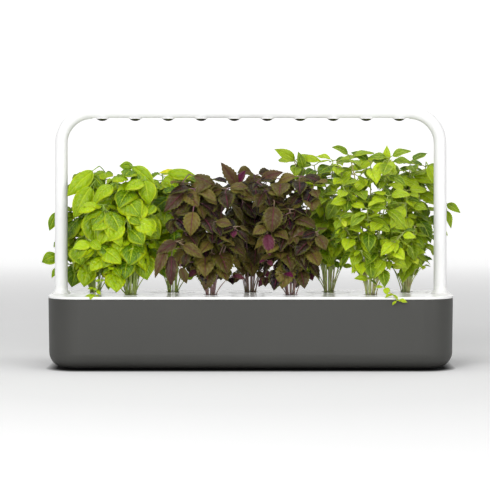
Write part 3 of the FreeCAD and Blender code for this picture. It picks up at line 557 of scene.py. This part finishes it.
def leaf_layout(number):
    """Leaves of one plant: opposite pairs up each stem, every pair turned from the last."""
    herb = HERBS[PLANTED[number - 1]]
    planes = room_planes(number)
    chance = random.Random(100 + number)
    levels = [(t, 1.0, None) for t in herb["levels"]] + [(0.95, 0.95, None), (1.0, *herb["top"])]
    leaves = []
    for tip in STEM_TIPS[number - 1]:
        turn = chance.uniform(-first_turn_range, first_turn_range) - 90
        vigour = min(1.0, least_vigour + (1 - least_vigour) * tip[2] / full_stem)
        for t, share, set_drop in levels:
            base = stem_point(number, tip, t)
            usual_drop = herb["low"] + (herb["high"] - herb["low"]) * t
            for half_turn in (0, 180):
                azimuth = turn + half_turn + chance.uniform(-leaf_turn_range, leaf_turn_range)
                drop = (set_drop or usual_drop) + chance.uniform(-leaf_drop_range, leaf_drop_range)
                facing = chance.uniform(*leaf_facing)
                grown = lowest_leaf_share - leaf_share_loss * t
                length = herb["length"] * share * vigour * grown * chance.uniform(*leaf_size_range)
                for shrink, swing in LEAF_TRIES:
                    rib, side = leaf_directions(azimuth + swing, drop, facing)
                    size, width = length * shrink, length * shrink * herb["ratio"]
                    if leaf_fits(base, rib, side, size, width, planes):
                        leaves.append((base, rib, side, size, width))
                        break
            turn += 90 + chance.uniform(-pair_turn_range, pair_turn_range)
    return leaves


# Leaves and stems as meshes

class MeshBuilder:
    """Collects points, faces and the numbers that the leaf material reads."""

    def __init__(self):
        self.points, self.faces, self.maps = [], [], []
        self.tones, self.unders, self.youths = [], [], []

    def add_grid(self, rows, maps, tone, young, under, flip):
        """Sheet of points in rows; under is 1 for the lower side of a leaf."""
        start, wide = len(self.points), len(rows[0])
        for row, map_row in zip(rows, maps):
            self.points += row
            self.maps += map_row
            self.tones += [tone] * wide
            self.unders += [under] * wide
            self.youths += [young] * wide
        for i in range(len(rows) - 1):
            for j in range(wide - 1):
                corner = start + i * wide + j
                face = (corner, corner + 1, corner + wide + 1, corner + wide)
                self.faces.append(face[::-1] if flip else face)
        return start

    def join_rims(self, upper, lower, count, wide):
        """Close the gap between two grids along their shared rim."""
        rim = list(range(wide))
        rim += [i * wide + wide - 1 for i in range(1, count)]
        rim += [(count - 1) * wide + j for j in range(wide - 2, -1, -1)]
        rim += [i * wide for i in range(count - 2, 0, -1)]
        for here, there in zip(rim, rim[1:] + rim[:1]):
            self.faces.append((upper + there, upper + here, lower + here, lower + there))

    def add_tube(self, path, radii, sides, tone):
        """Closed round tube along a path, with a radius at each of its points."""
        start = len(self.points)
        for k, (point, radius) in enumerate(zip(path, radii)):
            ahead = path[min(k + 1, len(path) - 1)] - path[max(k - 1, 0)]
            steep = abs(ahead.normalized().z) >= 0.9
            helper = Vector((0, 1, 0.1)) if steep else Vector((0.31, 0.17, 0.93))
            first = ahead.cross(helper).normalized()
            second = ahead.cross(first).normalized()
            for s in range(sides):
                angle = 2 * math.pi * s / sides
                outward = first * math.cos(angle) + second * math.sin(angle)
                self.points.append(point + outward * radius)
                self.maps.append((k / (len(path) - 1), s / sides))
        self.tones += [tone] * (sides * len(path))
        self.unders += [0.0] * (sides * len(path))
        self.youths += [0.0] * (sides * len(path))
        for k in range(len(path) - 1):
            for s in range(sides):
                a, b = start + k * sides + s, start + k * sides + (s + 1) % sides
                self.faces.append((a, b, b + sides, a + sides))
        self.faces.append(tuple(start + s for s in reversed(range(sides))))
        self.faces.append(tuple(start + (len(path) - 1) * sides + s for s in range(sides)))

    def build(self, name, material):
        mesh = bpy.data.meshes.new(name)
        mesh.from_pydata([tuple(point * MM) for point in self.points], [], self.faces)
        layer = mesh.uv_layers.new(name="blade")
        for loop in mesh.loops:
            layer.data[loop.index].uv = self.maps[loop.vertex_index]
        kinds = (("leaf_tone", self.tones), ("leaf_under", self.unders), ("leaf_young", self.youths))
        for attribute_name, values in kinds:
            attribute = mesh.attributes.new(attribute_name, "FLOAT", "POINT")
            attribute.data.foreach_set("value", values)
        mesh.materials.append(material)
        mesh.polygons.foreach_set("use_smooth", [True] * len(mesh.polygons))
        mesh.update()
        piece = bpy.data.objects.new(name, mesh)
        bpy.context.scene.collection.objects.link(piece)
        return piece


def blade_width(s, point):
    """Half width of a leaf's blade at share s of its length, 1 at its widest."""
    swell = math.sin(math.pi * min(1.0, s) ** 0.78)
    return max(0.0, swell) ** (0.72 if s < 0.42 else 0.72 + 0.45 * point * (s - 0.42))


def add_leaf(leaves, stems, leaf, looks, chance, steps=fine_leaf, tone=None, young=0.0):
    """One leaf: a stalk from the stem and a thin, closed, puckered blade."""
    base, rib, side, length, width = leaf
    face = rib.cross(side)
    stalk = looks["stalk"]
    arch = looks["arch"] * length * chance.uniform(*arch_range)
    twist = chance.uniform(-twist_range, twist_range)
    own_tone = chance.uniform(0.0, 1.0) ** 1.2
    phase = chance.uniform(0, 2 * math.pi)
    lift = chance.uniform(*cup_range)
    tone = own_tone if tone is None else tone
    long_steps, half_steps = steps

    def spine(u):
        return base + rib * length * u + face * arch * 4 * u * (1 - u)

    radius = stalk_radius * min(1.0, length / 40 + 0.25)
    path = [spine(stalk * k / 5) for k in range(6)]
    stems.add_tube(path, [radius * (1.15 - 0.06 * k) for k in range(6)], stalk_sides, tone)

    upper_rows, lower_rows, map_rows = [], [], []
    swelling = looks["pucker"] * min(1.0, width / 30)
    for i in range(long_steps + 1):
        s = i / long_steps
        middle = spine(stalk + (1 - stalk) * s)
        half = max(0.5 * width * blade_width(s, looks["point"]), least_half_width)
        if 1 < i < long_steps:
            half *= 1 + looks["teeth"] * (i % 3 - 1)
        turn = twist * s
        across_axis = side * math.cos(turn) + face * math.sin(turn)
        out_axis = face * math.cos(turn) - side * math.sin(turn)
        upper, lower, maps = [], [], []
        for j in range(-half_steps, half_steps + 1):
            v = j / half_steps
            reach = abs(v)
            cup = half * (0.32 * lift * reach - 2 * looks["curl"] * reach ** 2)
            dome = 0.8 * math.sin(math.pi * reach)
            between_veins = math.cos(2 * math.pi * (veins * s - vein_slant * reach))
            bulge = 0.6 * between_veins * math.sin(math.pi * reach) ** 0.6
            ripple = ripple_share * length * reach ** 2 * math.sin(9 * s + phase + (2 if v > 0 else 0))
            rise = cup + swelling * (dome + bulge) * math.sin(math.pi * s) ** 0.5 + ripple
            groove = rib_groove if j == 0 else 0
            point = middle + across_axis * (half * v) + out_axis * (rise - groove)
            upper.append(point)
            lower.append(point - out_axis * blade_thickness)
            maps.append((s, 0.5 + 0.5 * v))
        upper_rows.append(upper)
        lower_rows.append(lower)
        map_rows.append(maps)
    top = leaves.add_grid(upper_rows, map_rows, tone, young, 0.0, True)
    under = leaves.add_grid(lower_rows, map_rows, tone, young, 1.0, False)
    leaves.join_rims(top, under, long_steps + 1, 2 * half_steps + 1)


def add_stem(stems, path, ends, chance):
    """Round stem along a path; ends are its radius at the foot and at the tip."""
    first_radius, last_radius = ends
    steps = len(path) - 1
    radii = [first_radius + (last_radius - first_radius) * k / steps for k in range(steps + 1)]
    stems.add_tube(path, radii, tube_sides, chance.uniform(0, 1))


def soil_height(number):
    """Top of a cup's soil plug, in millimetres."""
    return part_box("soil_plug_%d" % number)[1].z / MM


def side_leaves(number, leaves, stems, chance):
    """Small leaves between the main pairs, where side shoots start."""
    kind = PLANTED[number - 1]
    herb, looks, planes = HERBS[kind], LEAF_LOOKS[kind], room_planes(number)
    for tip in STEM_TIPS[number - 1]:
        for t in herb["levels"] + (topmost_level,):
            for _ in range(side_leaf_count):
                place = min(1.0, t + chance.uniform(-level_spread, level_spread))
                base = stem_point(number, tip, place)
                drop, facing = chance.uniform(*side_leaf_drop), chance.uniform(*side_leaf_facing)
                rib, side = leaf_directions(chance.uniform(0, 360), drop, facing)
                size = herb["length"] * chance.uniform(*side_leaf_share)
                width = size * herb["ratio"] * chance.uniform(*side_leaf_narrowing)
                young = chance.uniform(0.3, 0.9) if chance.uniform(0, 1) < 0.07 else 0.0
                if leaf_fits(base, rib, side, size, width, planes):
                    leaf = (base, rib, side, size, width)
                    add_leaf(leaves, stems, leaf, looks, chance, small_leaf, young=young)


def basal_shoots(number, leaves, stems, chance):
    """Thin shoots that fan out of the cup, each with a few small leaves."""
    kind = PLANTED[number - 1]
    herb, looks, planes = HERBS[kind], LEAF_LOOKS[kind], room_planes(number)
    x, y = CUP_PLACES[number]
    for shoot in range(shoot_count):
        angle = 2 * math.pi * (shoot + chance.uniform(-0.3, 0.3)) / shoot_count
        out = Vector((math.cos(angle), math.sin(angle), 0))
        reach, height = chance.uniform(*shoot_reach), chance.uniform(*shoot_height)
        foot = Vector((x, y, soil_height(number))) + out * chance.uniform(*shoot_foot)
        end = Vector((x, y, lid_top + height)) + out * reach
        if any(nx * end.x + ny * end.y > limit - 3 for nx, ny, limit in planes):
            end -= out * 0.5 * reach
        bend = foot + out * 0.25 * reach + Vector((0, 0, 0.7 * height))
        path = [curve_point(foot, bend, end, k / 8) for k in range(9)]
        add_stem(stems, path, shoot_stem, chance)
        for offset in shoot_leaf_turns:
            drop, facing = chance.uniform(*shoot_leaf_drop), chance.uniform(*leaf_facing)
            azimuth = math.degrees(angle) + offset + chance.uniform(-20, 20)
            rib, side = leaf_directions(azimuth, drop, facing)
            size = chance.uniform(*shoot_leaf_size)
            width = size * herb["ratio"]
            young = chance.uniform(0.4, 1.0) if chance.uniform(0, 1) < 0.25 else 0.0
            if leaf_fits(end, rib, side, size, width, planes):
                leaf = (end, rib, side, size, width)
                add_leaf(leaves, stems, leaf, looks, chance, small_leaf, young=young)


def nearest_stem_point(number, place):
    """Point on one of a plant's stems from which a stalk reaches a place."""
    points = [stem_point(number, tip, k / 20) for tip in STEM_TIPS[number - 1] for k in range(2, 21)]
    return min(points, key=lambda point: (point - place).length + 2 * max(0, point.z - place.z))


def pixel_size(back):
    """Millimetres that one of the photograph's pixels spans on something this far back."""
    return (camera_distance / MM + back) / focal_px


def seen_place(pixel, back):
    """Place of a spot in the photograph, to the millimetre, if it stands this far back."""
    across = (pixel[0] - photo_middle_x) * pixel_size(back)
    down = (pixel[1] - photo_horizon_y) * pixel_size(back)
    return Vector((round(across), back, round(camera_height / MM - down)))


def marked_leaves(number, leaves, stems, chance):
    """The leaves of this plant that stand out from the front."""
    looks = LEAF_LOOKS[PLANTED[number - 1]]
    for mark in MARKED_LEAVES:
        if mark["plant"] != number:
            continue
        first = seen_place(mark["start_px"], mark["back"])
        tip = seen_place(mark["tip_px"], mark["back"])
        width = round(mark["width_px"] * pixel_size(mark["back"]))
        blade = (tip - first).length
        tip.y -= 0.25 * blade
        rib = (tip - first).normalized()
        side = Vector((0, -1, 0.35)).cross(rib).normalized()
        length = blade / (1 - looks["stalk"])
        base = first - rib * (length - blade)
        leaf = (base, rib, side, length, width)
        add_leaf(leaves, stems, leaf, looks, chance, tone=mark["tone"], young=mark.get("young", 0))
        root = nearest_stem_point(number, base)
        bend = (root + base) / 2 + Vector((0, 0, 0.1 * (base - root).length))
        path = [curve_point(root, bend, base, k / 4) for k in range(5)]
        add_stem(stems, path, marked_stem, chance)


def trailing_shoots(number, leaves, stems, chance):
    """Shoots that hang out over the lid."""
    looks = LEAF_LOOKS[PLANTED[number - 1]]
    for plant_number, points in TRAILERS:
        if plant_number != number:
            continue
        path = [Vector(point) for point in points]
        add_stem(stems, path, trailing_stem, chance)
        for place in path[2:]:
            for azimuth in (chance.uniform(150, 210), chance.uniform(-30, 30), chance.uniform(-110, -70)):
                rib, side = leaf_directions(azimuth, chance.uniform(0, 50), 30)
                size = chance.uniform(*trailing_leaf_size)
                leaf = (place, rib, side, size, size * trailing_leaf_ratio)
                add_leaf(leaves, stems, leaf, looks, chance, small_leaf, tone=0.9)


def plant(number, leaf_finish, stem_finish):
    """All of one herb plant: its leaves as one piece and its stems as another."""
    kind = PLANTED[number - 1]
    chance = random.Random(500 + number)
    leaves, stems = MeshBuilder(), MeshBuilder()
    for tip in STEM_TIPS[number - 1]:
        path = [stem_point(number, tip, k / 10) for k in range(11)]
        path[0].z = soil_height(number)
        add_stem(stems, path, main_stem, chance)
    for leaf in leaf_layout(number):
        add_leaf(leaves, stems, leaf, LEAF_LOOKS[kind], chance)
    side_leaves(number, leaves, stems, chance)
    basal_shoots(number, leaves, stems, chance)
    marked_leaves(number, leaves, stems, chance)
    trailing_shoots(number, leaves, stems, chance)
    foliage = leaves.build("leaves_%d" % number, leaf_finish)
    stalks = stems.build("stems_%d" % number, stem_finish)
    for piece in (foliage, stalks):
        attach(piece, "cup_%d" % number)
    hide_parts("plant_%d" % number)


def planting():
    """Nine plants of three herbs."""
    # Each leaf's edge colour is painted light, paler than its blade
    leaf_finish = {
        "green basil": leaf_material(
            "green_leaf", deep=(0.075, 0.17, 0.0), bright=(0.40, 0.58, 0.002), vein=(0.52, 0.66, 0.03),
            painted_edge_light=(0.62, 0.74, 0.005), young_color=(0.85, 0.78, 0.01), rough=0.33, gloss=0.26, through=0.25),
        "purple basil": leaf_material(
            "purple_leaf", deep=(0.004, 0.001, 0.003), bright=(0.15, 0.115, 0.022), vein=(0.14, 0.025, 0.055),
            painted_edge_light=(0.17, 0.19, 0.02), young_color=(0.13, 0.012, 0.06), rough=0.34, gloss=0.16, through=0.05),
        "lime basil": leaf_material(
            "lime_leaf", deep=(0.075, 0.15, 0.001), bright=(0.47, 0.62, 0.012), vein=(0.52, 0.66, 0.08),
            painted_edge_light=(0.52, 0.66, 0.03), young_color=(0.70, 0.80, 0.05), rough=0.35, gloss=0.24, through=0.25),
    }
    stem_finish = {
        "green basil": stem_material(
            "green_stem", base=(0.42, 0.52, 0.14), tip=(0.30, 0.46, 0.05), blush=(0.50, 0.58, 0.18)),
        "purple basil": stem_material(
            "purple_stem", base=(0.36, 0.22, 0.22), tip=(0.16, 0.05, 0.09), blush=(0.32, 0.30, 0.10)),
        "lime basil": stem_material(
            "lime_stem", base=(0.62, 0.70, 0.30), tip=(0.34, 0.44, 0.08), blush=(0.34, 0.16, 0.10)),
    }
    for number in CUPS:
        kind = PLANTED[number - 1]
        plant(number, leaf_finish[kind], stem_finish[kind])


# Stage, light and camera

# The world's strength on the object, and how much of its white shows in reflections
world_light = 0.22
reflected_share = 0.45

# The stage in metres, and the radius in millimetres of the tub's corners, which the painted shadow on the
# stage follows
stage_radius = 4.4
stage_curve = 1.0
stage_height = 1.6
stage_sides = 96
curve_steps = 12
wall_foot = 0.05
painted_shadow_span = 0.05
tub_corner = 50.0


def camera():
    """Level camera that frames the object as the photograph does."""
    data = bpy.data.cameras.new("camera")
    data.sensor_width = 36.0
    data.lens = data.sensor_width * focal_px / photo_size
    data.shift_x = -(photo_middle_x - photo_size / 2) / photo_size
    data.shift_y = -(photo_size / 2 - photo_horizon_y) / photo_size
    data.clip_end = 50
    view = bpy.data.objects.new("camera", data)
    view.location = (0, -camera_distance, camera_height)
    view.rotation_euler = (math.radians(90), 0, 0)
    bpy.context.scene.collection.objects.link(view)
    bpy.context.scene.camera = view


def area_light(name, place, aim, size_x, size_y, power):
    """Rectangular lamp; places and sizes in metres, power in watts."""
    data = bpy.data.lights.new(name, "AREA")
    data.shape = "RECTANGLE"
    data.size, data.size_y, data.energy = size_x, size_y, power
    light = bpy.data.objects.new(name, data)
    light.location = place
    direction = Vector(aim) - Vector(place)
    light.rotation_euler = direction.to_track_quat("-Z", "Y").to_euler()
    bpy.context.scene.collection.objects.link(light)


def lighting():
    """Dim even light from all round, with four soft lamps in front and above."""
    world = bpy.data.worlds.new("world")
    world.use_nodes = True
    tree = world.node_tree
    sky = tree.nodes["Background"]
    seen = add(tree, "ShaderNodeLightPath").outputs
    reflected = math_node(tree, "MULTIPLY", seen["Is Glossy Ray"], reflected_share)
    clear = math_node(tree, "MAXIMUM", seen["Is Camera Ray"], seen["Is Transmission Ray"])
    clear = math_node(tree, "MAXIMUM", clear, reflected)
    strength = math_node(tree, "MULTIPLY_ADD", clear, 1 - world_light)
    strength.node.inputs[2].default_value = world_light
    tree.links.new(strength, sky.inputs["Strength"])
    sky.inputs["Color"].default_value = (1, 1, 1, 1)
    bpy.context.scene.world = world
    area_light("key_light", (-1.0, -2.2, 1.3), (0, 0, 0.2), 1.2, 1.0, 32)
    area_light("fill_light", (1.8, -1.8, 0.8), (0, 0, 0.2), 1.2, 1.2, 15)
    area_light("low_light", (0.2, -3.2, 0.5), (0, 0, 0.15), 2.0, 0.6, 18)
    area_light("top_light", (0, -0.1, 1.8), (0, 0, 0.2), 1.8, 1.0, 15)


def grey(value):
    return (value, value, value)


# Used for the painted shadow on the stage floor
def footprint_distance(tree):
    """Distance in metres outside the tub's rounded outline, seen from above; negative inside it."""
    position = object_coordinates(tree)
    size = add(tree, "ShaderNodeVectorMath", operation="ABSOLUTE")
    tree.links.new(position, size.inputs[0])
    inset = add(tree, "ShaderNodeVectorMath", operation="SUBTRACT")
    straight_x, straight_y = tub_half_length - tub_corner, tub_half_width - tub_corner
    inset.inputs[1].default_value = (straight_x * MM, straight_y * MM, 0)
    tree.links.new(size.outputs["Vector"], inset.inputs[0])
    outside = add(tree, "ShaderNodeVectorMath", operation="MAXIMUM")
    tree.links.new(inset.outputs["Vector"], outside.inputs[0])
    length = add(tree, "ShaderNodeVectorMath", operation="LENGTH")
    tree.links.new(outside.outputs["Vector"], length.inputs[0])
    return math_node(tree, "SUBTRACT", length.outputs["Value"], tub_corner * MM)


def stage_material():
    """Pale floor and wall with a painted shadow, near black under the tub and just round its outline, and a
    glow that only cameras and reflections see, dimmed by that painted shadow.
    """
    material, tree, shader = new_material("stage")
    shader.inputs["Roughness"].default_value = 0.9
    shader.inputs["Specular IOR Level"].default_value = 0.1
    shader.inputs["Emission Color"].default_value = (1, 1, 1, 1)
    # Painted shadow: the floor's colour goes from near black under the tub's outline to pale a few
    # centimetres outside it
    near = math_node(tree, "MULTIPLY_ADD", footprint_distance(tree), 1 / painted_shadow_span)
    near.node.inputs[2].default_value = 0.5
    shade = ramp(tree, near, [(0.24, grey(0.02)), (0.50, grey(0.5)), (0.60, grey(0.86))])
    tree.links.new(shade, shader.inputs["Base Color"])
    away = add(tree, "ShaderNodeVectorMath", operation="LENGTH")
    tree.links.new(object_coordinates(tree), away.inputs[0])
    reach = math_node(tree, "DIVIDE", away.outputs["Value"], stage_radius)
    glows = [(0.11, grey(0.04)), (0.34, grey(0.30)), (0.90, grey(0.9))]
    far = math_node(tree, "MULTIPLY", ramp(tree, reach, glows), shade)
    rays = add(tree, "ShaderNodeLightPath").outputs
    parts = add(tree, "ShaderNodeSeparateXYZ")
    tree.links.new(object_coordinates(tree), parts.inputs[0])
    on_wall = math_node(tree, "GREATER_THAN", parts.outputs["Z"], wall_foot)
    reflected = math_node(tree, "MULTIPLY", rays["Is Glossy Ray"], on_wall)
    seen = math_node(tree, "MAXIMUM", rays["Is Camera Ray"], reflected)
    tree.links.new(math_node(tree, "MULTIPLY", seen, far), shader.inputs["Emission Strength"])
    return material


def stage():
    """Round floor that curves up into a low wall all round, outside the cameras and the lamps."""
    profile = [(stage_radius - stage_curve, 0.0)]
    for k in range(1, curve_steps + 1):
        angle = math.radians(90 * k / curve_steps)
        outward = stage_radius - stage_curve + stage_curve * math.sin(angle)
        profile.append((outward, stage_curve * (1 - math.cos(angle))))
    profile.append((stage_radius, stage_height))
    turns = [2 * math.pi * k / stage_sides for k in range(stage_sides)]
    points = [(r * math.cos(turn), r * math.sin(turn), z) for r, z in profile for turn in turns]
    faces = [tuple(range(stage_sides))]
    for ring in range(len(profile) - 1):
        for k in range(stage_sides):
            a, b = ring * stage_sides + k, ring * stage_sides + (k + 1) % stage_sides
            faces.append((b, a, a + stage_sides, b + stage_sides))
    mesh = bpy.data.meshes.new("backdrop")
    mesh.from_pydata(points, [], faces)
    mesh.materials.append(stage_material())
    mesh.polygons.foreach_set("use_smooth", [False] + [True] * (len(faces) - 1))
    backdrop = bpy.data.objects.new("backdrop", mesh)
    bpy.context.scene.collection.objects.link(backdrop)


bpy.context.scene.view_settings.view_transform = "Standard"
camera()
lighting()
stage()
dress_nodes()
planting()
